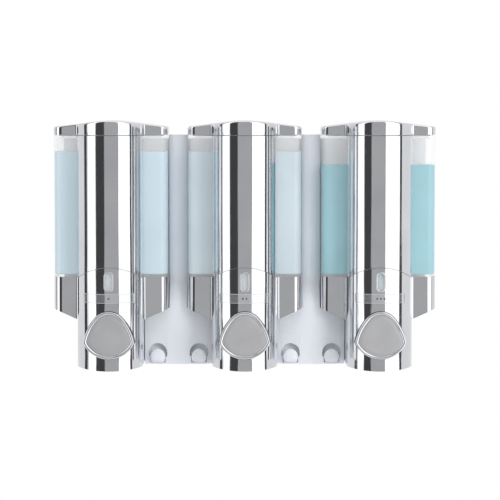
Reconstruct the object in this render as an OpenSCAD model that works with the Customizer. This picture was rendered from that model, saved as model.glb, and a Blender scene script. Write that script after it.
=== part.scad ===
// Wall mounted soap dispenser: three pump chambers hung side by side on one bracket.
// The front is -Y, the wall is the plane Y = 0 and +Z is up. The origin is the centre of
// the bracket's back face. Sizes are in millimetres.

/* [Chambers] */
// Distance between the centres of neighbouring chambers
pitch = 108.8; // [108:0.2:112]
// Width of a chamber across its flat wings
chamber_w = 92.8; // [92:0.2:93]
// Distance from the wall to the front of the wings
wing_out = 48; // [47:0.5:50]
// Distance from the wall to the nose of the round column
column_out = 85; // [84:0.5:87]
// Radius of the round column
column_r = 26.4; // [26:0.1:26.6]
// Distance from the wall to the back of a chamber
back_gap = 10; // [10:0.5:11]
// Rounding of the wings' front corners
wing_round = 7; // [4:0.5:9]

/* [Heights] */
// Height of the seam under the lid
lid_seam = 93.5; // [90:0.5:100]
// Height of the seam under the tank
tank_seam = -22; // [-24:0.5:-20]
// How far that seam arches up over the column
arch_rise = 9.7; // [8:0.1:11]
// Height of the wings' lower edge at their outer corner
wing_foot = -48; // [-50:0.5:-46]
// How much lower that edge is beside the column
wing_drop = 9; // [7:0.5:11]
// Height of the column's foot at its sides
column_foot = -93; // [-94:0.5:-92]

/* [Shells] */
// Wall thickness of the tank and the lid
wall = 2; // [1.8:0.1:2.2]
// Wall thickness of the chromed cover and housing
shell = 2.2; // [2:0.1:2.4]

/* [Lid] */
// Height of the dome above the seam, at its middle
dome_h = 11.5; // [10.5:0.5:13]
// Radius of the dome's crown
crown_r = 104; // [90:2:120]
// Slope of the dome's straight sides, in degrees
dome_slope = 7.125; // [6:0.125:8]
// Width of the ledge round the filling mouth, from the chamber's outside
mouth_inset = 6; // [5.8:0.1:6.5]
// Radius of the hinge pin
pin_r = 1; // [0.8:0.1:1.2]

/* [Button] */
// Height of the button's centre and of the pump
button_z = -66; // [-67:0.5:-65]
// How far the button's rim stands out from the wall
button_out = 88; // [87:0.5:90]
// Width of the button's raised rim
rim_w = 2.6; // [2:0.1:3]
// Depth of the flat face inside the rim
rim_h = 0.8; // [0.5:0.1:1.2]

/* [Bracket] */
// Height of the bracket's upper edge
bracket_top = 93.3; // [91:0.1:95]
// Height of the bracket's lower edge
bracket_foot = -94.6; // [-95:0.1:-94.4]
// Thickness of the back plate
plate_t = 3; // [3:0.1:3.2]
// How far the strips between the chambers stand out
strip_out = 26; // [24:0.5:28]
// How far the lower panels stand out
panel_out = 34; // [33:0.5:35]
// Height that a chamber is lifted to unhook it
lift = 12; // [10:1:16]
// Height of the screw holes above and below the middle
screw_z = 40; // [35:1:45]

/* [Hidden] */
SIDES = ["left", "middle", "right"];
CHAMBER_PARTS = [
    "container", "front_cover", "lower_housing", "window_bezel", "window_lens", "label",
    "lid", "lid_seal", "hinge_pin", "button", "bellows", "pump_body", "inlet_valve",
    "outlet_valve", "nozzle"
];
$fn = 96;

gap = 0.4;                          // between a chamber and the bracket beside it
seat = 0.3;                         // between curved shells that nest
far = 200;                          // longer than any part
column_y = column_out - column_r;   // distance from the wall to the column's axis
cover_gap = shell + seat;           // the tank's column is this much smaller
column_fillet = 2;                  // where the wings meet the column

// Seams
arch_r = (column_r * column_r + arch_rise * arch_rise) / (2 * arch_rise);
arch_z = tank_seam + arch_rise - arch_r;
foot_sag = 2.3;
foot_r = (column_r * column_r + foot_sag * foot_sag) / (2 * foot_sag);

// Tank
deck_top = lid_seam - 1;
deck_t = 1.8;
rim_top = lid_seam - seat;
mouth_back = 18.5;
sump_foot = -38;
sump_back = 30;
spigot_foot = -46;
spigot_r = 6;

// Lid and its hinge
lid_top = lid_seam + dome_h;
hinge_y = -(back_gap + 3);
hinge_z = lid_seam + 3;
barrel_r = 2.6;
barrel_x = 17.7;
ear_x = [18, 22];
seal_z = [deck_top + 0.2, deck_top + 2];
seal_inset = [4.1, 5.9];
seal_back = 16;

// Window and label
window_z = -23.6;
window_size = [7.8, 16.6];
bezel_w = 1.5;
label_z = [-40.6, -33.1];
label_x = 21;
label_t = 0.25;

// Button outline: two side arcs, an apex arc that blends them, and a flatter lower arc
side_r = 40.5;
side_centre = [19.4, button_z - 13.2];
lower_r = 22.45;
lower_z = button_z + 3.05;
apex_z = button_z + 4.7;
apex_r = side_r - norm([side_centre[0], apex_z - side_centre[1]]);
button_gap = 0.4;
skirt_t = 1.8;
skirt_back = 67.7;
flange = 1;

// Pump, along Z below the tank's spigot, with its bellows along Y behind the button
pump_y = 50;
pump_r = 8;
pump_end_r = 6;
fit = 0.05;
passage_r = 4.5;
cup_r = 13;
cup_front = 58.6;
bellows_front = 76;
valve_seat_z = [-49.5, -48];
pump_foot = -84;
nozzle_z = [-94, -79.3];
nozzle_r = 7.6;

// Bracket
strip_half = (pitch - chamber_w) / 2 - gap;
strip_sag = 3;
panel_half = pitch / 2 - column_r - gap;
panel_sag = 4;
skin = 2.5;
tab_z = [0, 60];
tab_x = 10;
tab_h = lift - 3;
bar_h = 6;
screw_r = 2.25;
pad_t = 1;
hook_x = 16.8;
hook_w = 12.3;
hook_z = [-93.2, -82];
foot_h = 3.5;
hook_out = 36.6;
pocket_r = 7.5;
pocket_z = [-88, -77.6];
pocket_y = -26.5;

// Height of the wings' lower edge, x away from the chamber's centre
function wing_z(x) = wing_foot - wing_drop * (chamber_w / 2 - x) / (chamber_w / 2 - column_r);

// ---------- helpers ----------

// Box between the given pairs of limits
module block(x, y, z) {
    translate([x[0], y[0], z[0]]) cube([x[1] - x[0], y[1] - y[0], z[1] - z[0]]);
}

// Outline in plan, raised between two heights
module slab(z) {
    translate([0, 0, z[0]]) linear_extrude(z[1] - z[0]) children();
}

// Outline in front view, run between two depths
module along_y(y) {
    translate([0, y[1], 0]) rotate([90, 0, 0]) linear_extrude(y[1] - y[0]) children();
}

// Upright and level rods
module rod_z(r, z, y = 0) {
    translate([0, y, z[0]]) cylinder(r = r, h = z[1] - z[0]);
}

module rod_y(r, y, z) {
    translate([0, y[1], z]) rotate([90, 0, 0]) cylinder(r = r, h = y[1] - y[0]);
}

module rod_x(r, x, y, z) {
    translate([x[0], y, z]) rotate([0, 90, 0]) cylinder(r = r, h = x[1] - x[0]);
}

// The same thing on the left and on the right
module both_sides() {
    for (s = [0, 1]) mirror([s, 0, 0]) children();
}

// Points of a round corner in plan, from one angle to another
function arc(centre, r, from, to, steps) = [
    for (i = [0:steps])
        let (a = from + (to - from) * i / steps)
        centre + r * [cos(a), sin(a)]
];

// Nose of the column in plan, from its right side to its left
function nose(r) = arc([0, -column_y], r, 0, -180, 48);

// Plan of the column alone, inset from its outside and cut off at the back
module column_plan(inset = 0, back = back_gap) {
    r = column_r - inset;
    polygon(concat([[r, -back]], nose(r), [[-r, -back]]));
}

// Bell-shaped plan of a whole chamber. narrow makes only its column smaller.
module plan(inset = 0, back = back_gap, narrow = 0, fillet = 0) {
    half = chamber_w / 2 - inset;
    front = wing_out - inset;
    round = max(wing_round - inset, 1);
    r = column_r - inset - narrow;
    wing = concat(
        [[half, -back]],
        arc([half - round, round - front], round, 0, -90, 12),
        fillet > 0 ? arc([r + fillet, -front - fillet], fillet, 90, 180, 6) : [[r, -front]]
    );
    other_wing = [for (i = [len(wing) - 1:-1:0]) [-wing[i][0], wing[i][1]]];
    polygon(concat(wing, nose(r), other_wing));
}

// Front view of everything under the lid's dome, lowered by drop
module dome(drop = 0) {
    top = lid_top - drop;
    x = crown_r * sin(dome_slope);
    shoulder = top - crown_r * (1 - cos(dome_slope));
    edge = shoulder - (chamber_w / 2 + 1 - x) * tan(dome_slope);
    w = chamber_w / 2 + 1;
    base = deck_top - 1;
    polygon([[-w, base], [-w, edge], [-x, shoulder], [x, shoulder], [w, edge], [w, base]]);
    intersection() {
        translate([0, top - crown_r]) circle(crown_r, $fn = 360);
        translate([-x, base]) square([2 * x, top - base]);
    }
}

// Front view of the lower housing, inset above its floor and beside its column
module housing_face(inset = 0) {
    half = chamber_w / 2;
    rise = inset * norm([half - column_r, wing_drop]) / (half - column_r);
    polygon([
        [-half, tank_seam], [-half, wing_z(half) + rise], [-column_r, wing_z(column_r) + rise],
        [column_r, wing_z(column_r) + rise], [half, wing_z(half) + rise], [half, tank_seam]
    ]);
    intersection() {
        translate([0, column_foot - foot_sag + foot_r]) circle(foot_r - inset, $fn = 360);
        translate([inset - column_r, column_foot - foot_sag])
            square([2 * (column_r - inset), tank_seam - column_foot + foot_sag]);
    }
    intersection() {
        translate([0, arch_z]) circle(arch_r + inset, $fn = 360);
        translate([-column_r, tank_seam - 1]) square([2 * column_r, far]);
    }
}

// Upright pill in front view
module pill(w, h, z) {
    translate([-w / 2, z - (h - w) / 2]) square([w, h - w]);
    for (s = [-1, 1]) translate([0, z + s * (h - w) / 2]) circle(w / 2);
}

// Rounded triangle of the button in front view
module button_outline(inset = 0) {
    blend_z = apex_z + (apex_r - inset) * (apex_z - side_centre[1]) / (side_r - apex_r);
    intersection() {
        both_sides_in_one() circle(side_r - inset);
        translate([0, lower_z]) circle(lower_r - inset);
        translate([-far / 2, blend_z - far]) square([far, far]);
    }
    intersection() {
        translate([0, apex_z]) circle(apex_r - inset);
        translate([-far / 2, blend_z - 0.01]) square([far, far]);
    }
}

// Where the same outline lies on both side centres
module both_sides_in_one() {
    intersection() {
        translate([-side_centre[0], side_centre[1]]) children();
        translate([side_centre[0], side_centre[1]]) children();
    }
}

// Plan of a bar with a bulging front, inset from its outside
module bulge(half, out, sag, inset = 0) {
    r = (half * half + sag * sag) / (2 * sag);
    w = half - inset;
    side = out - r + sqrt(pow(r - inset, 2) - w * w);
    translate([-w, -side]) square([2 * w, side + 1]);
    intersection() {
        translate([0, r - out]) circle(r - inset, $fn = 180);
        translate([-w, -out]) square([2 * w, out - side + 1]);
    }
}

// ---------- chamber ----------

// Translucent tank with its filling mouth, sump, spigot, hinge ears and hanging bars
module container() color("lightblue", 0.6) difference() {
    union() {
        slab([tank_seam, deck_top]) plan(narrow = cover_gap);
        slab([deck_top - deck_t, rim_top]) difference() {
            plan(back = back_gap + 4, narrow = cover_gap);
            plan(inset = wall * 0.6, back = back_gap + 3, narrow = cover_gap);
        }
        slab([sump_foot, tank_seam + 1]) column_plan(cover_gap, sump_back);
        rod_z(spigot_r, [spigot_foot, sump_foot + 1], -pump_y);
        for (z = tab_z) {
            block([-tab_x - 3.4, tab_x + 3.4], [-6.2, -plate_t - gap], [z, z + bar_h]);
            both_sides() block([tab_x + 0.6, tab_x + 3.4], [-back_gap - 1, -5], [z, z + bar_h]);
        }
        both_sides() {
            rod_x(barrel_r, ear_x, hinge_y, hinge_z);
            block(ear_x, [hinge_y - barrel_r, hinge_y + barrel_r], [deck_top - 1, hinge_z]);
        }
    }
    slab([tank_seam + wall, deck_top - deck_t])
        plan(inset = wall, back = back_gap + wall, narrow = cover_gap);
    slab([deck_top - deck_t - 1, rim_top + 1]) plan(inset = mouth_inset, back = mouth_back);
    slab([sump_foot + wall, tank_seam + wall + 1]) column_plan(cover_gap + wall, sump_back + wall);
    rod_z(spigot_r - 1.8, [spigot_foot - 1, sump_foot + wall + 1], -pump_y);
    rod_x(pin_r + 0.02, [-ear_x[1] - 1, ear_x[1] + 1], hinge_y, hinge_z);
}

// Chromed half-round cover, held on the tank's column by two flat rails
module front_cover() color("silver") difference() {
    union() {
        slab([tank_seam, rim_top]) difference() {
            column_plan(0, wing_out + 0.2);
            column_plan(shell, wing_out - 1);
        }
        both_sides() block(
            [column_r - cover_gap, column_r - shell + 0.5], [2 - column_y, 9 - column_y], [-5, 85]
        );
    }
    rod_y(arch_r + seat, [-far, 0], arch_z);
}

// Chromed housing of the pump and button, with its top arched over the column
module lower_housing() color("silver") difference() {
    intersection() {
        slab([-far, 0]) plan(fillet = column_fillet);
        along_y([-far, 0]) housing_face();
    }
    intersection() {
        slab([-far, 1]) plan(inset = shell, back = back_gap - 1);
        along_y([-far, 0]) housing_face(shell);
    }
    block([-far, far], [-wing_out - 0.2, 0], [tank_seam, far]);
    along_y([-far, 2 - column_y]) button_outline(-button_gap);
    along_y([-far, -column_y]) pill(window_size[0] + 2 * fit, window_size[1] + 2 * fit, window_z);
    rod_z(nozzle_r + 1.9, [-far, column_foot + 8], -pump_y);
}

// Chromed ring of the sight window
module window_bezel() color("gainsboro")
    along_y([-column_out - 0.6, cover_gap - column_out - fit]) difference() {
        pill(window_size[0], window_size[1], window_z);
        pill(window_size[0] - 2 * bezel_w, window_size[1] - 2 * bezel_w, window_z);
    }

// Clear pane of the sight window
module window_lens() color("white", 0.5)
    along_y([-column_out, 2 - column_out])
        pill(window_size[0] - 2 * bezel_w - 2 * fit, window_size[1] - 2 * bezel_w - 2 * fit, window_z);

// Clear label round the front of the column
module label() color("white", 0.7) intersection() {
    slab(label_z) translate([0, -column_y]) difference() {
        circle(column_r + label_t);
        circle(column_r);
    }
    block([-label_x, label_x], [-far, -column_y], label_z);
}

// ---------- lid ----------

// Chromed domed lid, which swings up and back on its barrel
module lid() color("silver") difference() {
    union() {
        difference() {
            intersection() {
                slab([lid_seam, lid_top + 1]) plan(fillet = column_fillet);
                along_y([-far, 0]) dome();
            }
            intersection() {
                slab([lid_seam - 1, lid_top]) plan(inset = wall, back = back_gap + wall);
                along_y([-far, 0]) dome(wall);
            }
            block([-far, far], [hinge_y - 1, 0], [0, hinge_z - 0.5]);
        }
        intersection() {
            union() {
                slab([seal_z[1], lid_top]) difference() {
                    plan(inset = seal_inset[0] + 0.3, back = seal_back + 0.6);
                    plan(inset = seal_inset[1] - 0.3, back = seal_back + 1.6);
                }
                block([-barrel_x, barrel_x], [hinge_y - barrel_r, hinge_y], [hinge_z, lid_top]);
            }
            along_y([-far, 0]) dome(wall / 2);
        }
        rod_x(barrel_r, [-barrel_x, barrel_x], hinge_y, hinge_z);
    }
    rod_x(pin_r + 0.06, [-barrel_x - 1, barrel_x + 1], hinge_y, hinge_z);
    both_sides() block(
        [barrel_x, ear_x[1] + 0.3],
        [hinge_y - barrel_r - 0.4, 0],
        [deck_top, hinge_z + barrel_r + 0.5]
    );
}

// Gasket that closes the filling mouth
module lid_seal() color("dimgray") slab(seal_z) difference() {
    plan(inset = seal_inset[0], back = seal_back);
    plan(inset = seal_inset[1], back = seal_back + 2.2);
}

// Steel pin through the tank's ears and the lid's barrel
module hinge_pin() color("gray") rod_x(pin_r, [-ear_x[1], ear_x[1]], hinge_y, hinge_z);

// ---------- button and pump ----------

// Push button with a raised rim, a skirt, a retaining flange and a boss for the bellows
module button() color("silver") {
    difference() {
        union() {
            along_y([-button_out, -skirt_back]) button_outline();
            along_y([-skirt_back - 1.5, -skirt_back]) button_outline(-flange);
        }
        along_y([-far, rim_h - button_out]) button_outline(rim_w);
        along_y([rim_h + 2.5 - button_out, 0]) button_outline(skirt_t);
    }
    rod_y(5, [rim_h + 2 - button_out, -bellows_front - seat], button_z);
}

// Silicone bellows, squeezed by the button
module bellows() color("white") {
    folds = 4;
    step = (bellows_front - 1 - cup_front - 1.2) / folds;
    crest = [for (i = [0:folds - 1], p = [[7.6, 0], [10, 0.5]])
        [p[0], cup_front + 1.2 + (i + p[1]) * step]];
    outer = concat(crest, [[7.6, bellows_front - 1]]);
    inner = [for (i = [len(outer) - 1:-1:0]) [outer[i][0] - 0.9, outer[i][1]]];
    translate([0, 0, button_z]) rotate([90, 0, 0]) {
        rotate_extrude() polygon(concat(outer, inner));
        rotate_extrude() translate([0, bellows_front - 1]) square([7.6, 1]);
        rotate_extrude() translate([6.7, cup_front]) square([5.3, 1.2]);
    }
}

// Pump chamber that hangs from the tank's spigot, with a cup for the bellows
module pump_body() color("whitesmoke") difference() {
    union() {
        rod_z(pump_r, [pump_foot + 6, sump_foot - 1.3], -pump_y);
        rod_z(pump_end_r, [pump_foot, pump_foot + 7], -pump_y);
        rod_y(cup_r, [-cup_front, 6 - cup_front], button_z);
    }
    rod_z(spigot_r + fit, [spigot_foot, sump_foot], -pump_y);
    rod_z(passage_r, [valve_seat_z[1], spigot_foot + 1], -pump_y);
    rod_z(passage_r, [pump_foot - 1, valve_seat_z[0]], -pump_y);
    rod_z(1.25, [valve_seat_z[0] - 1, valve_seat_z[1] + 1], -pump_y);
    for (a = [45:90:315]) translate([2.8 * cos(a), 2.8 * sin(a), 0])
        rod_z(0.9, [valve_seat_z[0] - 1, valve_seat_z[1] + 1], -pump_y);
    rod_y(3, [-cup_front - 1, -pump_y], button_z);
}

// Umbrella valve that lets soap into the pump
module inlet_valve() color("white") {
    rod_z(4.2, [valve_seat_z[0] - 0.8, valve_seat_z[0]], -pump_y);
    rod_z(1.2, [valve_seat_z[0] - 0.1, valve_seat_z[1] + 0.1], -pump_y);
    rod_z(1.8, [valve_seat_z[1], valve_seat_z[1] + 1.2], -pump_y);
}

// Duckbill valve that lets soap out
module outlet_valve() color("white") {
    rod_z(passage_r - 0.1, [pump_foot, pump_foot + 1.2], -pump_y);
    difference() {
        intersection() {
            rod_z(3.3, [pump_foot - 7, pump_foot + 0.1], -pump_y);
            translate([0, -pump_y, 0]) along_y([-4, 4])
                polygon([[-3.3, pump_foot + 1], [-0.6, pump_foot - 7], [0.6, pump_foot - 7],
                    [3.3, pump_foot + 1]]);
        }
        block([-0.15, 0.15], [-pump_y - 2.5, 2.5 - pump_y], [pump_foot - 8, pump_foot - 4]);
    }
}

// Outlet nozzle, pushed onto the pump's lower end
module nozzle() color("gainsboro") difference() {
    rod_z(nozzle_r, nozzle_z, -pump_y);
    rod_z(pump_end_r + fit, [pump_foot, nozzle_z[1] + 1], -pump_y);
    rod_z(3.6, [nozzle_z[0] - 1, pump_foot + 1], -pump_y);
}

// ---------- bracket ----------

// Convex strip between two chambers
module strip(inset = 0) {
    slab([wing_foot - 6, bracket_top - inset]) bulge(strip_half, strip_out, strip_sag, inset);
}

// Convex panel between two columns, whose upper edges follow the wings
module panel(inset = 0) {
    side = panel_half - inset;
    foot = bracket_foot + inset;
    side_top = wing_z(pitch / 2 - side) - 0.5 - inset;
    top = wing_z(chamber_w / 2 + gap) - 0.5 - inset;
    intersection() {
        slab([bracket_foot, tank_seam]) bulge(panel_half, panel_out, panel_sag, inset);
        along_y([-far, 1]) polygon([
            [-side, foot], [-side, side_top], [-strip_half, top],
            [strip_half, top], [side, side_top], [side, foot]
        ]);
    }
}

// White moulded bracket with hanging tabs, screw holes and pockets for hooks and pads
module bracket() color("white") difference() {
    union() {
        difference() {
            union() {
                block([-150, 150], [-plate_t, 0], [wing_foot + 3, bracket_top - 3.3]);
                block([-134, 134], [-plate_t, 0], [bracket_foot, wing_foot + 4]);
                both_sides() translate([pitch / 2, 0, 0]) intersection() {
                    union() {
                        strip();
                        panel();
                    }
                    block([-far, far], [-far, 0], [-far, far]);
                }
            }
            both_sides() translate([pitch / 2, 0, 0]) {
                strip(skin);
                panel(skin);
            }
        }
        both_sides() translate([pitch / 2, 0, 0]) intersection() {
            panel();
            both_sides() block(
                [hook_x - 10, hook_x + 10], [-far, pocket_y + 2.2], [bracket_foot, pocket_z[1] + 2.2]
            );
        }
        for (i = [-1:1], z = tab_z) translate([i * pitch, 0, z]) {
            block([-tab_x, tab_x], [-8.5, 0.5 - plate_t], [-2.4, 0]);
            block([-tab_x, tab_x], [-8.5, -6.5], [-2.4, tab_h]);
        }
    }
    both_sides() translate([pitch / 2, 0, 0]) both_sides() translate([hook_x, 0, 0]) {
        along_y([-far, pocket_y]) {
            translate([0, pocket_z[1] - pocket_r]) circle(pocket_r);
            translate([-pocket_r, pocket_z[0]])
                square([2 * pocket_r, pocket_z[1] - pocket_r - pocket_z[0]]);
        }
        block([-hook_w / 2 - fit, hook_w / 2 + fit], [-far, pocket_y - 1],
            [hook_z[0] - fit, hook_z[0] + foot_h + fit]);
    }
    both_sides() for (z = [-screw_z, screw_z]) {
        translate([pitch, 1, z]) rotate([90, 0, 0]) cylinder(r = screw_r, h = plate_t + 2);
        translate([pitch, 1.4 - plate_t, z]) rotate([90, 0, 0])
            cylinder(r1 = screw_r, r2 = screw_r * 2, h = 1.41);
    }
    pad_places() block([-7, 7], [-pad_t, 1], [-35, 35]);
}

// Places of the adhesive pads, two behind each chamber
module pad_places() {
    for (i = [-1:1], s = [-1, 1]) translate([i * pitch + s * 22, 0, 0]) children();
}

// Four J hooks for a razor or a cloth loop, plugged into the panels' slots
module hooks() color("white")
    both_sides() translate([pitch / 2, 0, 0]) both_sides() translate([hook_x, 0, 0]) {
        block([-hook_w / 2, hook_w / 2], [-hook_out + 1, pocket_y - 1],
            [hook_z[0], hook_z[0] + foot_h]);
        along_y([-hook_out, 2.6 - hook_out]) intersection() {
            translate([-hook_w / 2, hook_z[0]]) square([hook_w, hook_z[1] - hook_z[0]]);
            translate([0, hook_z[1] - 9]) circle(9);
        }
    }

// Double-sided pads, flush with the back of the bracket
module tape_pads() color("lightgray") pad_places() block([-7, 7], [-pad_t, 0], [-35, 35]);

// ---------- assembly ----------

bracket();
hooks();
tape_pads();
for (i = [0:2]) translate([(i - 1) * pitch, 0, 0]) {
    side = SIDES[i];
    container();
    front_cover();
    lower_housing();
    window_bezel();
    window_lens();
    label();
    lid();
    lid_seal();
    hinge_pin();
    button();
    bellows();
    pump_body();
    inlet_valve();
    outlet_valve();
    nozzle();
}
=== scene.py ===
import math

import bmesh
import bpy
import numpy as np
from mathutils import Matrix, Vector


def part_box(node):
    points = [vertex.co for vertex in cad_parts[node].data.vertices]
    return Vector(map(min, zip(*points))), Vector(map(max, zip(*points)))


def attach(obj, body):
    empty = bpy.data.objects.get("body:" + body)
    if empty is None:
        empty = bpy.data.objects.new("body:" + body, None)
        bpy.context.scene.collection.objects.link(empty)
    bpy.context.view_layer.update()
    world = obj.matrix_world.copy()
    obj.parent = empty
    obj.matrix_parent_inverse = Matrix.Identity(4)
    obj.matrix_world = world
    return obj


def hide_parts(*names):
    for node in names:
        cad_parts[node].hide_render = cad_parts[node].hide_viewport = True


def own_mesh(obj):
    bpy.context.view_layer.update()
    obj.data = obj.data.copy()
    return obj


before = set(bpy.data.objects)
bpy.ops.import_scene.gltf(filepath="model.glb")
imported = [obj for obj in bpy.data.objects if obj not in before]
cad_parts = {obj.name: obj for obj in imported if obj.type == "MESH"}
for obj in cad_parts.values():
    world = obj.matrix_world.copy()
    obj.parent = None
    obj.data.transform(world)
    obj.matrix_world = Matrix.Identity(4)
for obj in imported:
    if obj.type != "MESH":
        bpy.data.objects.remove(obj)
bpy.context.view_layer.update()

# Studio
# The dispenser hangs in a plain pale room. Tall cards stand round it, out of the camera's
# sight, and the chrome shows them as upright light and dark bands.
VIEW_WIDTH = 0.4065                     # width seen at the front of the tanks' wings
CAMERA_DISTANCE = 2.0                   # from there
CAMERA_RISE = math.radians(3.5)
SENSOR_WIDTH = 36.0
WING_FRONT = -0.048

camera_data = bpy.data.cameras.new("camera")
camera_data.sensor_width = SENSOR_WIDTH
camera_data.lens = SENSOR_WIDTH / (VIEW_WIDTH / 2.0)
camera_data.shift_x = 0.0106
camera = bpy.data.objects.new("camera", camera_data)
camera.location = (
    0.0,
    WING_FRONT - CAMERA_DISTANCE * math.cos(CAMERA_RISE),
    CAMERA_DISTANCE * math.sin(CAMERA_RISE),
)
camera.rotation_euler = (math.pi / 2 - CAMERA_RISE, 0.0, 0.0)
bpy.context.scene.collection.objects.link(camera)
bpy.context.scene.camera = camera
bpy.context.scene.view_settings.view_transform = "Standard"

world = bpy.data.worlds.new("pale_room")
world.use_nodes = True
world.node_tree.nodes["Background"].inputs["Color"].default_value = (1.0, 1.0, 1.0, 1.0)
world.node_tree.nodes["Background"].inputs["Strength"].default_value = 1.0
bpy.context.scene.world = world


def plain_quad(name, corners):
    """One flat four-sided face through the given corners."""
    mesh = bpy.data.meshes.new(name)
    mesh.from_pydata([tuple(c) for c in corners], [], [(0, 1, 2, 3)])
    obj = bpy.data.objects.new(name, mesh)
    bpy.context.scene.collection.objects.link(obj)
    return obj


def glow(name, grey):
    """Material that only shines, in the given grey, very slightly blue."""
    material = bpy.data.materials.new(name)
    material.use_nodes = True
    tree = material.node_tree
    tree.nodes.clear()
    shine = tree.nodes.new("ShaderNodeEmission")
    shine.inputs["Color"].default_value = (grey, grey, grey * 1.02, 1.0)
    out = tree.nodes.new("ShaderNodeOutputMaterial")
    tree.links.new(shine.outputs["Emission"], out.inputs["Surface"])
    return material


def reflected_card(name, corners, grey):
    """Shining card of one grey that only reflections show."""
    obj = plain_quad(name, corners)
    obj.data.materials.append(glow(name, grey))
    obj.visible_camera = False
    obj.visible_diffuse = False
    obj.visible_shadow = False


# Upright cards on a circle round the dispenser: azimuths in degrees, with 0 at the front, and grey
CARD_DISTANCE = 0.8
CARD_FOOT, CARD_TOP = -0.6, 1.1
CARD_CENTRE_Y = -0.06
for name, start, end, grey in (
    ("card_back_left", -180, -140, 0.84),
    ("card_side_left", -140, -98, 0.82),
    ("card_left_edge", -97, -85, 0.06),
    ("card_left_white", -80, -55, 1.5),
    ("card_left_dark", -53, -36.5, 0.06),
    ("card_near_dark", -36.5, -24, 0.06),
    ("card_front_left", -24, 0, 0.44),
    ("card_front_right", 0, 24, 0.44),
    ("card_right_shade", 24, 25.5, 0.12),
    ("card_right_white", 25.5, 50, 1.5),
    ("card_far_white", 50, 74, 1.5),
    ("card_right_edge", 75, 83, 0.06),
    ("card_side_right", 84, 132, 0.82),
    ("card_back_right", 132, 180, 0.84),
):
    a = np.radians((start, end))
    near, far = np.stack([np.sin(a) * CARD_DISTANCE, CARD_CENTRE_Y - np.cos(a) * CARD_DISTANCE], axis=1)
    corners = [(*near, CARD_FOOT), (*far, CARD_FOOT), (*far, CARD_TOP), (*near, CARD_TOP)]
    reflected_card(name, corners, grey)
reflected_card(
    "card_overhead", [(-1.6, -2.9, 2.4), (1.6, -2.9, 2.4), (1.6, -1.5, 2.4), (-1.6, -1.5, 2.4)], 0.06
)

floor = plain_quad("floor", [(-6, -6, -0.62), (6, -6, -0.62), (6, 2, -0.62), (-6, 2, -0.62)])
floor_material = bpy.data.materials.new("pale_floor")
floor_material.use_nodes = True
floor_surface = floor_material.node_tree.nodes["Principled BSDF"]
floor_surface.inputs["Base Color"].default_value = (0.66, 0.67, 0.68, 1.0)
floor_surface.inputs["Roughness"].default_value = 0.6
floor.data.materials.append(floor_material)


def soft_light(name, place, size, power):
    """Square area light that faces the dispenser."""
    data = bpy.data.lights.new(name, "AREA")
    data.size = size
    data.energy = power
    light = bpy.data.objects.new(name, data)
    light.location = place
    aim = -np.array(place)
    light.rotation_euler = (
        math.atan2(math.hypot(aim[0], aim[1]), -aim[2]),
        0.0,
        math.atan2(aim[1], aim[0]) - math.pi / 2,
    )
    light.visible_glossy = False
    bpy.context.scene.collection.objects.link(light)


soft_light("key_above", (0.1, -1.6, 1.9), 1.4, 7.0)
soft_light("fill_front", (1.35, -2.1, 0.5), 0.7, 17.0)


# Chromed covers and lower housings
# Each tank wears a half-round chromed cover, and the housing below it holds the pump.
# Both are chrome-plated ABS mouldings that snap onto the tank.
SIDES = ("left", "middle", "right")
MM = 0.001


def noise_mask(name, detail):
    """Group that turns Object coordinates into soft noise between two values."""
    group = bpy.data.node_groups.new(name, "ShaderNodeTree")
    group.interface.new_socket("Scale", in_out="INPUT", socket_type="NodeSocketFloat")
    group.interface.new_socket("Low", in_out="INPUT", socket_type="NodeSocketFloat")
    group.interface.new_socket("High", in_out="INPUT", socket_type="NodeSocketFloat")
    group.interface.new_socket("Value", in_out="OUTPUT", socket_type="NodeSocketFloat")
    nodes, links = group.nodes, group.links
    given = nodes.new("NodeGroupInput")
    coordinates = nodes.new("ShaderNodeTexCoord")
    noise = nodes.new("ShaderNodeTexNoise")
    noise.inputs["Detail"].default_value = detail
    spread = nodes.new("ShaderNodeMapRange")
    spread.inputs["From Min"].default_value = 0.3
    spread.inputs["From Max"].default_value = 0.7
    out = nodes.new("NodeGroupOutput")
    links.new(coordinates.outputs["Object"], noise.inputs["Vector"])
    links.new(given.outputs["Scale"], noise.inputs["Scale"])
    links.new(noise.outputs["Fac"], spread.inputs["Value"])
    links.new(given.outputs["Low"], spread.inputs["To Min"])
    links.new(given.outputs["High"], spread.inputs["To Max"])
    links.new(spread.outputs["Result"], out.inputs["Value"])
    return group


SOFT_NOISE = noise_mask("soft_noise", 3.0)
GRAIN_SCALE = 900.0
GRAIN_DEPTH = 0.2 * MM


def noise_into(material, scale, low, high):
    """Adds soft noise to a material and returns its output."""
    node = material.node_tree.nodes.new("ShaderNodeGroup")
    node.node_tree = SOFT_NOISE
    node.inputs["Scale"].default_value = scale
    node.inputs["Low"].default_value = low
    node.inputs["High"].default_value = high
    return node.outputs["Value"]


def shader_input(material, name):
    """Socket of a material's Principled shader."""
    return material.node_tree.nodes["Principled BSDF"].inputs[name]


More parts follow.
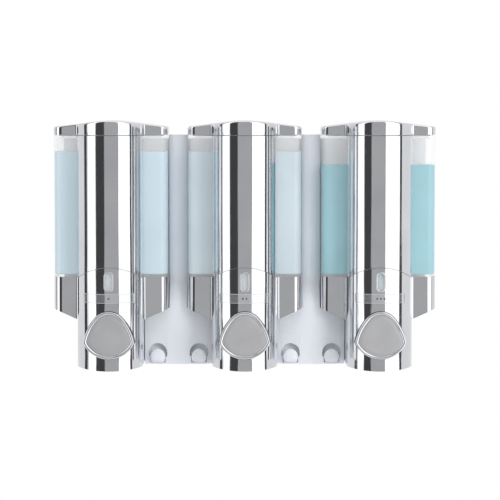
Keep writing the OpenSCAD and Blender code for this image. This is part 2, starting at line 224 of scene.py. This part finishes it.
def surface(name, dark, light, roughness, metallic=0.0, scale=60.0, grain=0.0):
    """Material whose colour and roughness drift softly between two values each, with a fine
    grain where one is given."""
    material = bpy.data.materials.new(name)
    material.use_nodes = True
    tree = material.node_tree
    shader_input(material, "Metallic").default_value = metallic
    mix = tree.nodes.new("ShaderNodeMix")
    mix.data_type = "RGBA"
    mix.inputs["A"].default_value = (*dark, 1.0)
    mix.inputs["B"].default_value = (*light, 1.0)
    tree.links.new(noise_into(material, scale, 0.0, 1.0), mix.inputs["Factor"])
    tree.links.new(mix.outputs["Result"], shader_input(material, "Base Color"))
    tree.links.new(noise_into(material, scale * 2.5, *roughness), shader_input(material, "Roughness"))
    if grain:
        bump = tree.nodes.new("ShaderNodeBump")
        bump.inputs["Strength"].default_value = grain
        bump.inputs["Distance"].default_value = GRAIN_DEPTH
        tree.links.new(noise_into(material, GRAIN_SCALE, 0.0, 1.0), bump.inputs["Height"])
        tree.links.new(bump.outputs["Normal"], shader_input(material, "Normal"))
    return material


SHARP_ANGLE = math.radians(30.0)


def rounded_copy(node, width):
    """Copy of a CAD solid with its doubles merged and its edges rounded to the given radius,
    in millimetres."""
    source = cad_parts[node]
    mesh = source.data.copy()
    work = bmesh.new()
    work.from_mesh(mesh)
    bmesh.ops.remove_doubles(work, verts=work.verts, dist=2e-6)
    bmesh.ops.dissolve_limit(
        work, angle_limit=math.radians(0.4), verts=work.verts, edges=work.edges
    )
    work.to_mesh(mesh)
    work.free()
    mesh.shade_smooth()
    mesh.set_sharp_from_angle(angle=SHARP_ANGLE)
    mesh.materials.clear()
    piece = bpy.data.objects.new(node + "_shape", mesh)
    bpy.context.scene.collection.objects.link(piece)
    bevel = piece.modifiers.new("edges", "BEVEL")
    bevel.width = width * MM
    bevel.segments = 3
    bevel.limit_method = "ANGLE"
    bevel.angle_limit = SHARP_ANGLE
    bevel.harden_normals = True
    bevel.use_clamp_overlap = True
    return piece


def fit_piece(piece, body, material, slot, *nodes):
    """Gives a piece its material and its body, and hides the CAD nodes it stands for. The slot is not
    used.
    """
    if material:
        piece.data.materials.append(material)
    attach(piece, body)
    if nodes:
        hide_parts(*nodes)


CHROME = surface(
    "chrome", (0.74, 0.75, 0.77), (0.8, 0.81, 0.82), (0.05, 0.1), metallic=1.0, scale=35.0
)
for side in SIDES:
    for part, width in (("front_cover", 0.35), ("lower_housing", 0.5)):
        node = f"{part}_{side}"
        fit_piece(rounded_copy(node, width), f"dispenser_{side}", CHROME, "chrome", node)


# White bracket, hooks and pads
# One white ABS moulding carries everything: its strips show between the tanks, and its lower
# panels carry four plugged-in hooks. Foam pads lie flush in its back.
def mesh_piece(name, points, faces, sharp=40.0):
    """Smooth mesh object made from an array of points and a list of faces."""
    mesh = bpy.data.meshes.new(name)
    mesh.from_pydata(points.reshape(-1, 3).tolist(), [], faces)
    mesh.validate()
    mesh.shade_smooth()
    mesh.set_sharp_from_angle(angle=math.radians(sharp))
    piece = bpy.data.objects.new(name, mesh)
    bpy.context.scene.collection.objects.link(piece)
    return piece


def ring_faces(rows, columns, first_pole=None, last_pole=None):
    """Faces between closed rings of points, with a fan to a pole at either end."""
    r, c = np.meshgrid(np.arange(rows - 1), np.arange(columns), indexing="ij")
    n = (c + 1) % columns
    quads = np.stack([r * columns + c, r * columns + n, (r + 1) * columns + n,
                      (r + 1) * columns + c], axis=-1).reshape(-1, 4)
    k = np.arange(columns)
    k_next = (k + 1) % columns
    fans = []
    if first_pole is not None:
        fans.append(np.stack([np.full(columns, first_pole), k_next, k], axis=1))
    if last_pole is not None:
        last = (rows - 1) * columns
        fans.append(np.stack([np.full(columns, last_pole), last + k, last + k_next], axis=1))
    return quads.tolist() + [face for fan in fans for face in fan.tolist()]


def closed_mesh(rings, poles):
    """Points and faces of a closed body: its rings, and a fan to the pole at either end."""
    rows, columns = rings.shape[:2]
    points = np.concatenate([rings.reshape(-1, 3), poles])
    return points, ring_faces(rows, columns, rows * columns, rows * columns + 1)


def bracket_fairings(middle):
    """Skin over one strip's lower end: rows down the wall, each running from the left side wall
    over a rounded edge and the bulging front to the right side wall. The front's depth goes
    smoothly from the strip's bulge to the panel's, and the half width follows the wings."""
    swell_top, wing_foot, wing_slope = -26.0, -48.3, 0.45
    strip_half, panel_half, rounding = 7.63, 27.63, 0.9
    z = np.concatenate([
        np.linspace(swell_top, wing_foot, 24), np.linspace(-48.5, -57.5, 37), [-62.0, -70.0]
    ])
    t = np.clip((swell_top - z) / (swell_top - wing_foot), 0.0, 1.0)
    t = t * t * (3 - 2 * t)
    half = strip_half + np.maximum(wing_foot - z, 0.0) / wing_slope
    half = np.clip(half, strip_half, panel_half)
    u = np.linspace(-1.0, 1.0, 41)
    x = half[:, None] * u
    strip = 26.03 - 3.0 * np.minimum((x / 7.6) ** 2, 1.3)
    panel = 34.03 - 4.0 * (x / 27.6) ** 2
    out = strip * (1 - t[:, None]) + panel * t[:, None]
    edge = np.clip(half[:, None] * (1 - np.abs(u)), 0.0, rounding)
    out -= rounding - np.sqrt(np.maximum(rounding**2 - (rounding - edge) ** 2, 0.0))
    front = np.stack([x + middle, -out, np.broadcast_to(z[:, None], x.shape)], axis=-1)
    wall = front[:, [0, -1]].copy()
    wall[..., 1] = -4.0
    return np.concatenate([wall[:, :1], front, wall[:, 1:]], axis=1) * MM


def hook_rings(x, count=64):
    """Rings of one hook: from the web's end in the pocket, along the web to the tongue's back,
    out to its edge, round the edge and over the bulging front to its middle. The web is a flat
    superellipse; the tongue is half an ellipse above and a flatter superellipse below."""
    pocket_floor, tongue_back, tongue_edge, tongue_front = -27.6, -34.1, -34.5, -36.55
    web_z, tongue_z, crown_z = -91.5, -88.4, -87.6
    a = np.linspace(0, 2 * np.pi, count, endpoint=False)
    c, s = np.cos(a), np.sin(a)
    web = np.column_stack([
        5.7 * np.sign(c) * np.abs(c) ** 0.4, web_z + 1.6 * np.sign(s) * np.abs(s) ** 0.6
    ])
    wide = np.where(s > 0, c, np.sign(c) * np.abs(c) ** 0.62)
    tongue = np.column_stack([
        6.1 * wide, tongue_z + np.where(s > 0, 6.4 * s, -4.6 * np.abs(s) ** 0.9)
    ])
    middle = np.array([0.0, crown_z])
    rings = [(web, pocket_floor), (web, tongue_back)]
    rings += [(middle + (tongue - middle) * 0.96, tongue_back), (tongue, tongue_edge)]
    for k in (1.0, 0.985, 0.95, 0.88, 0.75, 0.55, 0.3, 0.1):
        rings.append((middle + (tongue - middle) * k, tongue_front + 1.5 * k**4))
    points = np.array([np.column_stack([p[:, 0] + x, np.full(count, y), p[:, 1]]) for p, y in rings])
    poles = np.array([[x, pocket_floor, web_z], [x, tongue_front - 0.01, crown_z]])
    return points * MM, poles * MM


def sheet_faces(rows, columns):
    """Faces of an open grid of points."""
    r, c = np.meshgrid(np.arange(rows - 1), np.arange(columns - 1), indexing="ij")
    start = (r * columns + c).reshape(-1, 1)
    return (start + np.array([0, columns, columns + 1, 1])).tolist()


WHITE_PLASTIC = surface(
    "white_plastic", (0.74, 0.77, 0.82), (0.79, 0.81, 0.86), (0.28, 0.38), scale=25.0, grain=0.08
)
FOAM = surface("foam", (0.4, 0.41, 0.42), (0.5, 0.5, 0.52), (0.8, 0.95), scale=300.0, grain=0.6)
fit_piece(rounded_copy("bracket", 0.6), "bracket", WHITE_PLASTIC, "white_plastic", "bracket")
fit_piece(rounded_copy("tape_pads", 0.1), "bracket", FOAM, "foam_pad", "tape_pads")
for number, x in enumerate((-71.2, -37.6, 37.6, 71.2)):
    piece = mesh_piece(f"j_hook_{number}", *closed_mesh(*hook_rings(x)))
    fit_piece(piece, "bracket", WHITE_PLASTIC, "white_plastic", "hooks")
for side, middle in (("left", -54.4), ("right", 54.4)):
    skin = bracket_fairings(middle)
    piece = mesh_piece(f"bracket_fairing_{side}", skin, sheet_faces(*skin.shape[:2]))
    fit_piece(piece, "bracket", WHITE_PLASTIC, "white_plastic")


# Tanks and soap
# The tanks are frosted SAN mouldings, filled with soap of three colours. The soap fills the
# tank's wings and column up to its level.
HALF_WIDTH = 46.4 * MM
COLUMN_RADIUS = 26.4 * MM
COLUMN_Y = -58.6 * MM
CHAMBER_BACK = -10.0 * MM
TANK_FLOOR = -19.8 * MM
SUMP_TOP = -20.0 * MM
SUMP_FLOOR = -35.8 * MM
SOAP_MIDDLE_Y = -38.0 * MM


def chamber_x(side):
    """Middle of a chamber across the wall, from its tank's box."""
    low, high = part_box(f"container_{side}")
    return (low[0] + high[0]) / 2


def arc(x, y, radius, start, end, count):
    """Points of a round corner: centre plus radius times the cosine and sine of even angles."""
    a = np.radians(np.linspace(start, end, count))
    return np.stack([x + radius * np.cos(a), y + radius * np.sin(a)], axis=1)


def line(x0, y0, x1, y1, count):
    """Even points from one end to just before the other."""
    t = np.linspace(0.0, 1.0, count, endpoint=False)[:, None]
    return np.array([x0, y0]) * (1 - t) + np.array([x1, y1]) * t


def bell(inset, narrow=0.0):
    """Closed bell-shaped plan: wings with round front corners, a hollow fillet where they meet
    the column, and the column's half circle, every curve moved inwards by the inset."""
    half = HALF_WIDTH - inset
    front = WING_FRONT + inset
    rounding = max(7.0 * MM - inset, 1.0 * MM)
    fillet = 2.0 * MM + inset
    radius = COLUMN_RADIUS - inset - narrow
    rear = CHAMBER_BACK - inset
    right = np.concatenate([
        line(half, rear, half, rear - 3.9 * MM, 2),
        line(half, rear - 3.9 * MM, half, rear - 4.1 * MM, 1),
        line(half, rear - 4.1 * MM, half, front + rounding, 6),
        arc(half - rounding, front + rounding, rounding, 0, -90, 9),
        arc(radius + fillet, front - fillet, fillet, 90, 180, 7),
    ])
    nose = arc(0.0, COLUMN_Y, radius, 0, -180, 73)
    left = right[::-1] * [-1, 1]
    stops = np.array([-1.0, -0.75, -0.52, -0.49, -0.485, -0.375, -0.37, -0.35, -0.28, -0.2, -0.1])
    stops = np.concatenate([stops, [0.0], -stops[::-1]])[1:-1]
    rear_edge = np.stack([stops * half, np.full(len(stops), rear)], axis=1)
    return np.concatenate([right, nose, left, rear_edge])


def placed(points, side):
    """The same points moved from the middle of the wall to a chamber."""
    return points + np.array([chamber_x(side), 0.0, 0.0])


def soap_body(low, high, plan):
    """Closed body of soap: a ring at the tank's floor, rings up the wall with a small meniscus
    at the top, and a pole in the middle of the floor and of the level."""
    heights = [low, low + 0.5 * MM, (low + high) / 2, high - 0.8 * MM, high, high - 0.7 * MM]
    insets = [0.5 * MM, 0.0, 0.0, 0.0, 0.0, 1.5 * MM]
    rings = np.array([
        np.column_stack([plan(inset), np.full(len(plan(0.0)), z)])
        for z, inset in zip(heights, insets)
    ])
    poles = np.array([[0.0, SOAP_MIDDLE_Y, low], [0.0, SOAP_MIDDLE_Y, high - 0.7 * MM]])
    return rings, poles


def tank_plan(inset):
    """Close under the tank's outer face, where refraction in the wall shows the soap."""
    return bell(0.5 * MM + inset, narrow=2.5 * MM)


def sump_plan(inset):
    """Inside of the sump behind the sight window."""
    radius = COLUMN_RADIUS - 4.7 * MM - inset
    nose = arc(0.0, COLUMN_Y, radius, 0, -180, 49)
    return np.concatenate([nose, [[-radius, -33.0 * MM]], [[radius, -33.0 * MM]]])


TANK = surface("frosted_tank", (0.9, 0.9, 0.9), (0.94, 0.94, 0.94), (0.3, 0.42), scale=30.0)
shader_input(TANK, "Alpha").default_value = 0.26
# Painted glow: the tank material gives off a little light of its own, standing in for light scattered
# inside the frosted plastic.
shader_input(TANK, "Emission Color").default_value = (0.9, 0.92, 0.94, 1.0)
shader_input(TANK, "Emission Strength").default_value = 0.13
SOAPS = {                               # darker and lighter colour, and the level
    "left": ((0.47, 0.64, 0.73), (0.52, 0.69, 0.78), 80.0 * MM),
    "middle": ((0.46, 0.58, 0.65), (0.54, 0.66, 0.72), 80.0 * MM),
    "right": ((0.09, 0.41, 0.49), (0.14, 0.49, 0.57), 69.0 * MM),
}
for side in SIDES:
    body = f"dispenser_{side}"
    node = f"container_{side}"
    fit_piece(rounded_copy(node, 0.4), body, TANK, "tank", node)
    dark, light, level = SOAPS[side]
    soap = surface(f"soap_{side}", dark, light, (0.15, 0.25), scale=20.0)
    for name, low, high, plan in (
        ("soap", TANK_FLOOR, level, tank_plan), ("soap_sump", SUMP_FLOOR, SUMP_TOP, sump_plan)
    ):
        points, faces = closed_mesh(*soap_body(low, high, plan))
        fit_piece(mesh_piece(f"{name}_{side}", placed(points, side), faces), body, soap, "tank")


# Sight windows and labels
# A chromed ring holds a clear pill-shaped pane, through which the soap is seen. The clear
# label below it carries only plain dots, which tell the chambers apart.
WINDOW_Z = -23.6 * MM
WINDOW_SIZE = (7.8 * MM, 16.6 * MM)
PILL_POINTS = 96
LENS_RINGS = 8
COLUMN_NOSE = -85.0 * MM
LABEL_Z = (-40.6 * MM, -33.1 * MM)
LABEL_MIDDLE = sum(LABEL_Z) / 2
LABEL_HALF = 21.0 * MM
LABEL_REACH = math.asin(LABEL_HALF / COLUMN_RADIUS)
DOT_STEP = 0.11                         # angle between two dots round the column


def pill_rings(insets, depths):
    """Rings in the shape of an upright pill, which is a circle whose upper and lower halves are
    pushed apart. Each is moved inwards by its inset and lies at its depth."""
    a = np.linspace(0, 2 * np.pi, PILL_POINTS, endpoint=False) + np.pi / PILL_POINTS
    push = (WINDOW_SIZE[1] - WINDOW_SIZE[0]) / 2
    rings = []
    for inset, y in zip(insets, depths):
        radius = WINDOW_SIZE[0] / 2 - inset
        height = WINDOW_Z + radius * np.sin(a) + np.where(np.sin(a) > 0, push, -push)
        rings.append(np.column_stack([radius * np.cos(a), np.full(PILL_POINTS, y), height]))
    return np.array(rings)


def bezel_rings():
    """Closed ring: a round-topped wall carried round the pill, from its back outside edge over
    the front and back along the inside."""
    a = np.radians(np.linspace(0, 180, 13))
    back = -83.0 * MM
    insets = np.concatenate([[0.0], 0.75 * MM * (1 - np.cos(a)), [1.5 * MM]])
    depths = np.concatenate([[back], COLUMN_NOSE + 0.2 * MM - 0.8 * MM * np.sin(a), [back]])
    return pill_rings(insets, depths)


def lens_rings():
    """Low dome over the pill: rings from its rim to its middle, each a little further out."""
    shrink = np.linspace(0.0, 1.0, LENS_RINGS)
    insets = 1.48 * MM + shrink * 2.35 * MM
    depths = COLUMN_NOSE + 0.35 * MM - 0.35 * MM * np.sin(shrink * np.pi / 2)
    return pill_rings(insets, depths)


def on_column(angle, out, height):
    """Points at an angle round the column's axis, at a distance from it, and at a height."""
    x, y = out * np.sin(angle), COLUMN_Y - out * np.cos(angle)
    return np.stack(np.broadcast_arrays(x, y, height), axis=-1)


def label_sheet():
    """Thin rounded plate bent round the column: even angles across, even heights up, and the
    thickness falls to nothing over the last part of a millimetre at each edge."""
    u = np.concatenate([[-1.0, -0.995], np.linspace(-0.985, 0.985, 41), [0.995, 1.0]])
    v = np.concatenate([[0.0, 0.03], np.linspace(0.08, 0.92, 5), [0.97, 1.0]])
    angle, height = np.meshgrid(LABEL_REACH * u, LABEL_Z[0] + (LABEL_Z[1] - LABEL_Z[0]) * v)
    edge = np.minimum.outer(np.minimum(v, 1 - v) / 0.08, (1 - np.abs(u)) / 0.015)
    out = COLUMN_RADIUS + 0.24 * MM * np.sqrt(np.clip(edge, 0.0, 1.0))
    return on_column(angle, out, height)


def label_frame():
    """Three closed rounded rectangles round the label's edge, bent round the column: the outer
    and inner ones lie low and the one between stands proud. The ends are wider than the sides."""
    a = np.linspace(0, 2 * np.pi, 240, endpoint=False) + np.pi / 240
    c, s = np.cos(a), np.sin(a)
    square = np.stack([c, s]) / np.maximum(np.abs(c), np.abs(s))
    half_height = (LABEL_Z[1] - LABEL_Z[0]) / 2
    rings = []
    for part, rise in ((0.0, 0.22), (0.5, 0.3), (1.0, 0.24)):
        turn = square[0] * (LABEL_HALF * 1.09 - part * 1.3 * MM) / COLUMN_RADIUS
        turn = np.clip(turn, -LABEL_REACH, LABEL_REACH)
        height = LABEL_MIDDLE + square[1] * (half_height - part * 0.32 * MM)
        rings.append(on_column(turn, COLUMN_RADIUS + rise * MM, height))
    return np.array(rings)


def dot_rings(angle):
    """Small flat-topped dome on the label at an angle round the column."""
    a = np.linspace(0, 2 * np.pi, 24, endpoint=False)
    radii = np.array([0.8, 0.78, 0.6, 0.3]) * MM
    rises = np.array([0.0, 0.16, 0.22, 0.24]) * MM
    rings = []
    for radius, rise in zip(radii, rises):
        turn = angle + radius * np.cos(a) / COLUMN_RADIUS
        height = LABEL_MIDDLE + radius * np.sin(a)
        rings.append(on_column(turn, COLUMN_RADIUS + 0.22 * MM + rise, height))
    pole = on_column(angle, COLUMN_RADIUS + 0.47 * MM, LABEL_MIDDLE)
    return np.array(rings), pole[None]


CLEAR = surface("clear_pane", (0.85, 0.88, 0.9), (0.9, 0.93, 0.95), (0.04, 0.09), scale=80.0)
shader_input(CLEAR, "Alpha").default_value = 0.3
LABEL_FILM = surface("label_film", (0.88, 0.9, 0.91), (0.92, 0.93, 0.94), (0.2, 0.3), scale=80.0)
shader_input(LABEL_FILM, "Alpha").default_value = 0.1
LABEL_EDGE = surface("label_edge", (0.5, 0.5, 0.51), (0.56, 0.56, 0.57), (0.3, 0.4), scale=90.0)
DOT_INK = surface("dot_ink", (0.1, 0.1, 0.11), (0.14, 0.14, 0.15), (0.35, 0.45), scale=200.0)
for count, side in enumerate(SIDES, start=1):
    body = f"dispenser_{side}"
    rings = bezel_rings()
    piece = mesh_piece(f"bezel_{side}", placed(rings, side), ring_faces(*rings.shape[:2]))
    fit_piece(piece, body, CHROME, "chrome", f"window_bezel_{side}")
    rings = lens_rings()
    middle_face = list(range((LENS_RINGS - 1) * PILL_POINTS, LENS_RINGS * PILL_POINTS))
    faces = ring_faces(*rings.shape[:2]) + [middle_face]
    piece = mesh_piece(f"pane_{side}", placed(rings, side), faces)
    fit_piece(piece, body, CLEAR, "clear", f"window_lens_{side}")
    film = label_sheet()
    piece = mesh_piece(f"label_film_{side}", placed(film, side), sheet_faces(*film.shape[:2]))
    fit_piece(piece, body, LABEL_FILM, "clear", f"label_{side}")
    rings = label_frame()
    piece = mesh_piece(f"label_edge_{side}", placed(rings, side), ring_faces(*rings.shape[:2]))
    fit_piece(piece, body, LABEL_EDGE, "clear")
    for i in range(count):
        rings, pole = dot_rings((i - (count - 1) / 2) * DOT_STEP)
        points = placed(np.concatenate([rings.reshape(-1, 3), pole]), side)
        rows, columns = rings.shape[:2]
        faces = ring_faces(rows, columns, last_pole=rows * columns)
        fit_piece(mesh_piece(f"label_dot_{side}_{i}", points, faces), body, DOT_INK, "seal_rubber")


# Lids
# Each domed lid is one chromed ABS moulding. It follows the chamber's bell-shaped plan, and its
# barrel turns on a steel pin between two ears at the back of the tank.
LID_SEAM = 93.5 * MM
LID_TOP = 105.0 * MM
LID_CROWN = 104.0 * MM
LID_SLOPE = math.radians(7.125)
LID_WALL = 2.0 * MM
LID_EDGE = 1.3 * MM
HINGE_Y = -13.0 * MM
HINGE_Z = 96.5 * MM
REAR_EDGE = 96.0 * MM                   # the wall ends higher at the back, over the tank's rim
EAR_NOTCH_EDGE = 99.8 * MM              # and higher still over the two ears
EAR_NOTCH_X = (17.5 * MM, 22.7 * MM)
HINGE_CLEARANCE_Y = -11.6 * MM          # thinner rear wall at the barrel, to leave it room


def dome_height(x):
    """Height of the lid's top: a round crown that runs into straight slopes on both sides."""
    x = np.abs(x)
    turn = LID_CROWN * math.sin(LID_SLOPE)
    shoulder = LID_TOP - LID_CROWN * (1 - math.cos(LID_SLOPE))
    crown = LID_TOP - LID_CROWN + np.sqrt(LID_CROWN**2 - np.minimum(x, turn) ** 2)
    return np.where(x < turn, crown, shoulder - (x - turn) * math.tan(LID_SLOPE))


def lid_rings():
    """Rings of the lid's wall from the middle of its inside, down the inner wall, round the
    lower edge, up the outer wall, over the rounded upper edge and in to the top's middle."""
    centre = np.array([0.0, -38.0 * MM])
    shrink = np.concatenate([[0.03, 0.1], np.linspace(0.2, 1.0, 9)])

    def lower_edge(plan):
        x = np.abs(plan[:, 0])
        rear = plan[:, 1] > -14.2 * MM
        at_ears = (x > EAR_NOTCH_X[0]) & (x < EAR_NOTCH_X[1])
        notch = rear & (plan[:, 1] > -12.3 * MM) & at_ears
        return np.where(notch, EAR_NOTCH_EDGE, np.where(rear, REAR_EDGE, LID_SEAM))

    inner = bell(LID_WALL)
    at_hinge = (inner[:, 1] > -12.3 * MM) & (np.abs(inner[:, 0]) < 23.0 * MM)
    inner[at_hinge, 1] = HINGE_CLEARANCE_Y
    rings = []
    for k in shrink:
        plan = centre + (inner - centre) * k
        rings.append(np.column_stack([plan, dome_height(plan[:, 0]) - LID_WALL]))
    rounding = 0.35 * MM
    outer = bell(0.0)
    rings.append(np.column_stack([inner, lower_edge(outer) + rounding]))
    rings.append(np.column_stack([bell(LID_WALL - rounding), lower_edge(outer)]))
    for angle in np.radians([0, 30, 60, 90]):
        plan = bell(rounding * (1 - math.sin(angle)))
        rings.append(np.column_stack([plan, lower_edge(outer) + rounding * (1 - math.cos(angle))]))
    for angle in np.radians(np.linspace(0, 90, 7)):
        plan = bell(LID_EDGE * (1 - math.cos(angle)))
        top = dome_height(plan[:, 0]) - LID_EDGE * (1 - math.sin(angle))
        rings.append(np.column_stack([plan, top]))
    flat = bell(LID_EDGE * 1.02)
    for k in shrink[::-1]:
        plan = centre + (flat - centre) * k
        rings.append(np.column_stack([plan, dome_height(plan[:, 0])]))
    poles = np.array([[*centre, LID_TOP - LID_WALL], [*centre, LID_TOP]])
    return np.array(rings), poles


def barrel_loops(bore, radius, top, half_length):
    """Outer and inner loops of the lid's barrel at both ends. Downwards the outside is round,
    and upwards it is the straight-sided web that meets the lid's roof."""
    a = np.linspace(0, 2 * np.pi, 48, endpoint=False)
    up = np.maximum(np.sin(a), 1e-6)
    web = np.minimum(radius / np.maximum(np.abs(np.cos(a)), 1e-6), top / up)
    outside = np.where(np.sin(a) < 0, radius, web)
    loops = []
    for x, reach in ((-1, bore), (-1, outside), (1, outside), (1, bore)):
        reach = np.broadcast_to(reach, a.shape)
        loops.append(np.column_stack([
            np.full(len(a), x * half_length), HINGE_Y + reach * np.cos(a), HINGE_Z + reach * np.sin(a)
        ]))
    return np.array(loops)


lid_points, lid_faces = closed_mesh(*lid_rings())
barrel = barrel_loops(bore=1.06 * MM, radius=2.6 * MM, top=6.2 * MM, half_length=17.6 * MM)
loops, columns = barrel.shape[:2]
barrel_faces = [[i % (loops * columns) for i in face] for face in ring_faces(loops + 1, columns)]
for side in SIDES:
    body = f"lid_{side}"
    shell_piece = mesh_piece(f"lid_shell_{side}", placed(lid_points, side), lid_faces)
    fit_piece(shell_piece, body, CHROME, "chrome", f"lid_{side}")
    barrel_piece = mesh_piece(f"lid_barrel_{side}", placed(barrel, side), barrel_faces)
    fit_piece(barrel_piece, body, CHROME, "chrome")


# Push buttons
# Each button is a rounded triangle with a polished raised rim round a flat face, whose even grey is
# painted reflection: it stands in for the chrome face's reflection of the grey front. Its skirt slides
# in the housing, and a boss behind the face squeezes the pump's bellows.
# Painted reflection: an even, dull grey on the button's face in place of the chrome face's reflection
# of the grey front.
PAINTED_FACE_REFLECTION = surface(
    "painted_face_reflection", (0.4, 0.4, 0.41), (0.44, 0.44, 0.45), (0.35, 0.45), metallic=0.3, scale=60.0
)
BUTTON_Z = -66.0 * MM
BUTTON_FRONT = -88.0 * MM
FACE_Y = -87.2 * MM
FACE_BACK = -84.7 * MM
SKIRT_BACK = -67.7 * MM
FLANGE_FRONT = -69.2 * MM
BOSS_BACK = -76.3 * MM
BUTTON_POINTS = 144


def reach_to_circle(a, x, z, radius):
    """Distance from the button's middle to a circle round (x, z), along the directions a."""
    along = x * np.cos(a) + z * np.sin(a)
    return along + np.sqrt(along**2 - (x * x + z * z) + radius**2)


def triangle(inset):
    """Rounded triangle: the nearest of two side arcs and a lower arc in each direction, softly
    blended at the tips, and a smaller arc round the apex. All radii shrink by the inset."""
    a = np.linspace(0, 2 * np.pi, BUTTON_POINTS, endpoint=False)
    sides = [
        reach_to_circle(a, -19.4 * MM, -13.2 * MM, 40.5 * MM - inset),
        reach_to_circle(a, 19.4 * MM, -13.2 * MM, 40.5 * MM - inset),
        reach_to_circle(a, 0.0, 3.05 * MM, 22.45 * MM - inset),
    ]
    nearest = np.sum([(side / MM) ** -70.0 for side in sides], axis=0) ** (-1 / 70.0) * MM
    apex = reach_to_circle(a, 0.0, 4.7 * MM, 14.1 * MM - inset)
    reach = np.where(np.abs(a - np.pi / 2) < math.radians(35.9), apex, nearest)
    return np.column_stack([reach * np.cos(a), BUTTON_Z + reach * np.sin(a)])


def button_rings():
    """Rings of the button from the back of its boss, out under the face, down the inside of the
    skirt, round the flange, up the outside, over the rim and in to the face's middle. A step is
    the triangle's inset, or None for a circle, then the depth, and the circle's radius."""
    steps = [(None, BOSS_BACK, 4.2), (None, BOSS_BACK, 5.0), (None, FACE_BACK, 5.0)]
    steps += [(1.8, FACE_BACK, 0), (1.8, SKIRT_BACK, 0), (-0.8, SKIRT_BACK, 0)]
    steps += [(-1.0, SKIRT_BACK - 0.2 * MM, 0), (-1.0, FLANGE_FRONT + 0.2 * MM, 0)]
    steps += [(-0.8, FLANGE_FRONT, 0), (0.0, FLANGE_FRONT, 0), (0.0, -80.0 * MM, 0)]
    for angle in np.radians(np.linspace(0, 90, 7)):
        steps.append((1.1 * (1 - math.cos(angle)), BUTTON_FRONT + 1.1 * MM * (1 - math.sin(angle)), 0))
    for t in np.linspace(0.15, 1.0, 6):
        steps.append((1.1 + 1.4 * t, BUTTON_FRONT + 0.8 * MM * t * t, 0))
    steps += [(2.55, FACE_Y + 0.5 * MM, 0), (2.85, FACE_Y + 0.5 * MM, 0), (2.9, FACE_Y + 0.05 * MM, 0)]
    steps += [(3.0, FACE_Y, 0), (6.0, FACE_Y, 0), (8.0, FACE_Y, 0)]
    a = np.linspace(0, 2 * np.pi, BUTTON_POINTS, endpoint=False)
    rings = []
    for inset, y, radius in steps:
        if inset is None:
            plan = np.column_stack([radius * MM * np.cos(a), BUTTON_Z + radius * MM * np.sin(a)])
        else:
            plan = triangle(inset * MM)
        rings.append(np.column_stack([plan[:, 0], np.full(len(a), y), plan[:, 1]]))
    poles = np.array([[0.0, BOSS_BACK, BUTTON_Z], [0.0, FACE_Y, BUTTON_Z]])
    return np.array(rings), poles


button_shell, button_poles = button_rings()
button_points, button_faces = closed_mesh(button_shell, button_poles)
rows, columns = button_shell.shape[:2]
reflection_paint_index = np.zeros(len(button_faces), dtype=np.int32)
reflection_paint_index[(rows - 4) * columns:(rows - 1) * columns] = 1       # the flat face gets the painted reflection grey
reflection_paint_index[-columns:] = 1
for side in SIDES:
    piece = mesh_piece(f"push_button_{side}", placed(button_points, side), button_faces, 50.0)
    piece.data.materials.append(CHROME)
    piece.data.materials.append(PAINTED_FACE_REFLECTION)
    piece.data.polygons.foreach_set("material_index", reflection_paint_index)
    fit_piece(piece, f"button_{side}", None, "button_satin", f"button_{side}")


# Pumps, valves, gaskets and hinge pins
# The inner pieces are plain mouldings: silicone bellows and valves, a white pump and nozzle, a
# rubber gasket in each lid, and a steel pin through each hinge.
SILICONE = surface(
    "silicone", (0.7, 0.7, 0.68), (0.78, 0.78, 0.76), (0.45, 0.6), scale=90.0, grain=0.1
)
GASKET = surface(
    "gasket", (0.03, 0.03, 0.032), (0.05, 0.05, 0.053), (0.5, 0.65), scale=150.0, grain=0.15
)
STEEL = surface("steel_pin", (0.5, 0.5, 0.5), (0.6, 0.6, 0.6), (0.2, 0.35), metallic=1.0, scale=200.0)
BELLOWS_BACK = -58.7 * MM
BELLOWS_FRONT = -76.0 * MM


def bellows_rings(folds=4, rows=49, count=64):
    """Revolved wave round the button's axis: the radius swings once a fold between the crests
    and the roots, from the pump's cup to the front plate, whose edge is rounded."""
    t = np.linspace(0.0, 1.0, rows)
    y = BELLOWS_BACK + (BELLOWS_FRONT - BELLOWS_BACK) * t
    radius = (8.8 - 1.1 * np.cos(2 * np.pi * folds * t)) * MM
    radius = np.where(t > 0.97, 7.2 * MM, radius)
    radius = np.where(t < 0.04, 11.6 * MM, radius)
    a = np.linspace(0, 2 * np.pi, count, endpoint=False)
    rings = np.stack([
        radius[:, None] * np.cos(a), np.broadcast_to(y[:, None], (rows, count)),
        BUTTON_Z + radius[:, None] * np.sin(a),
    ], axis=-1)
    poles = np.array([[0.0, BELLOWS_BACK, BUTTON_Z], [0.0, BELLOWS_FRONT, BUTTON_Z]])
    return rings, poles


bellows_points, bellows_faces = closed_mesh(*bellows_rings())
for side in SIDES:
    piece = mesh_piece(f"pump_bellows_{side}", placed(bellows_points, side), bellows_faces)
    fit_piece(piece, f"dispenser_{side}", SILICONE, "silicone", f"bellows_{side}")
    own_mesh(piece)

INNER_PARTS = {
    "inlet_valve": SILICONE, "outlet_valve": SILICONE,
    "pump_body": WHITE_PLASTIC, "nozzle": WHITE_PLASTIC, "lid_seal": GASKET, "hinge_pin": STEEL,
}
for part, material in INNER_PARTS.items():
    for side in SIDES:
        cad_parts[f"{part}_{side}"].material_slots[0].material = material
